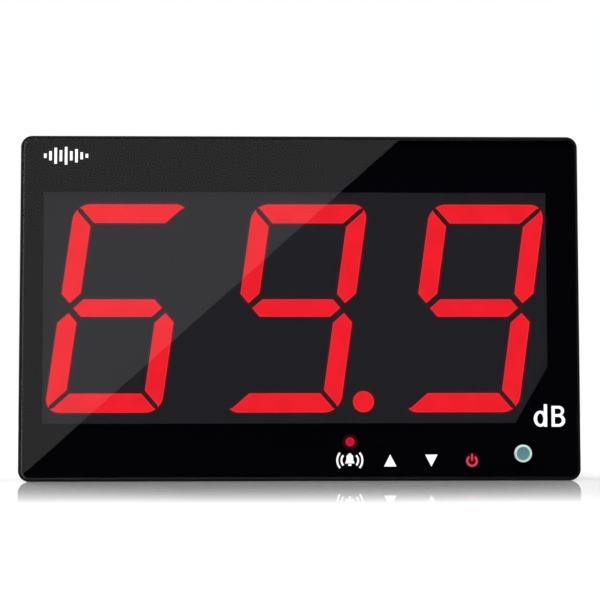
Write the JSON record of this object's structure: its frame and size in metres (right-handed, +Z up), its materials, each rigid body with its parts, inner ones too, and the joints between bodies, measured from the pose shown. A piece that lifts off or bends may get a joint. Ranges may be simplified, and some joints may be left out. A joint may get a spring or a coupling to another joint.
{
  "type": "sound level meter",
  "caption": "Flat black wall or desk sound level meter with a large red seven-segment readout, touch keys, a front microphone and a fold-out rear stand.",
  "frame": {"origin": "centre of the flat bottom face, at the middle of the width and of the depth", "axes": "+Z up, +X to the right as the reader sees the face, +Y towards the back; the face looks along -Y"},
  "size_m": [0.248, 0.028, 0.153],
  "materials": {
    "case_plastic": "fine moulded texture",
    "clear_acrylic": "polished, clear",
    "black_print": "screen print",
    "white_print": "screen print",
    "red_print": "screen print",
    "foam_tape": "foam",
    "red_epoxy": "cast, satin",
    "housing_plastic": "moulded, matt printed face",
    "led_ceramic": "satin",
    "circuit_board": "solder mask",
    "screw_steel": "zinc plated",
    "bright_metal": "bright nickel",
    "gauze": "fine cloth",
    "can_aluminium": "drawn can",
    "rubber": "matt",
    "chip_plastic": "moulded",
    "contact_brass": "plated",
    "trimmer_plastic": "moulded",
    "label_paper": "matt film"
  },
  "bodies": {
    "meter": {"alarm_led": "red_epoxy", "board_header": "chip_plastic", "board_header_pins": "contact_brass", "border_print": "black_print", "buzzer": "chip_plastic", "capacitors": "can_aluminium", "case_screws": "screw_steel", "crystal": "bright_metal", "decimal_point": "red_epoxy", "digit_1_segment_a": "red_epoxy", "digit_1_segment_b": "red_epoxy", "digit_1_segment_c": "red_epoxy", "digit_1_segment_d": "red_epoxy", "digit_1_segment_e": "red_epoxy", "digit_1_segment_f": "red_epoxy", "digit_1_segment_g": "red_epoxy", "digit_2_segment_a": "red_epoxy", "digit_2_segment_b": "red_epoxy", "digit_2_segment_c": "red_epoxy", "digit_2_segment_d": "red_epoxy", "digit_2_segment_e": "red_epoxy", "digit_2_segment_f": "red_epoxy", "digit_2_segment_g": "red_epoxy", "digit_3_segment_a": "red_epoxy", "digit_3_segment_b": "red_epoxy", "digit_3_segment_c": "red_epoxy", "digit_3_segment_d": "red_epoxy", "digit_3_segment_e": "red_epoxy", "digit_3_segment_f": "red_epoxy", "digit_3_segment_g": "red_epoxy", "display_board": "circuit_board", "display_board_screws": "screw_steel", "display_driver_chips": "chip_plastic", "display_housing": "housing_plastic", "display_leds": "led_ceramic", "face_mark": "white_print", "front_frame": "case_plastic", "front_panel": "clear_acrylic", "key_legends": "white_print", "legend_leds": "led_ceramic", "main_board": "circuit_board", "main_board_screws": "screw_steel", "microcontroller": "chip_plastic", "microphone_boot": "rubber", "microphone_capsule": "can_aluminium", "microphone_gauze": "gauze", "microphone_ring": "bright_metal", "panel_tape": "foam_tape", "power_jack": "chip_plastic", "power_jack_pin": "contact_brass", "power_legend": "red_print", "rating_label": "label_paper", "rear_case": "case_plastic", "stand_hinge_pin": "screw_steel", "touch_springs": "screw_steel", "trimmer_body": "trimmer_plastic", "unit_legend": "white_print"},
    "stand": {"stand_leg": "case_plastic", "stand_foot_pad": "rubber"},
    "trimmer": {"trimmer_rotor": "contact_brass"}
  },
  "joints": [
    {"name": "stand_fold", "type": "hinge", "parent": "meter", "child": "stand", "pos_m": [0, 0.0123, 0.1], "axis": [1, 0, 0], "range_deg": [0, 35]},
    {"name": "trimmer_turn", "type": "hinge", "parent": "meter", "child": "trimmer", "pos_m": [0.1187, 0.0058, 0.048], "axis": [1, 0, 0], "range_deg": [-130, 130]}
  ]
}
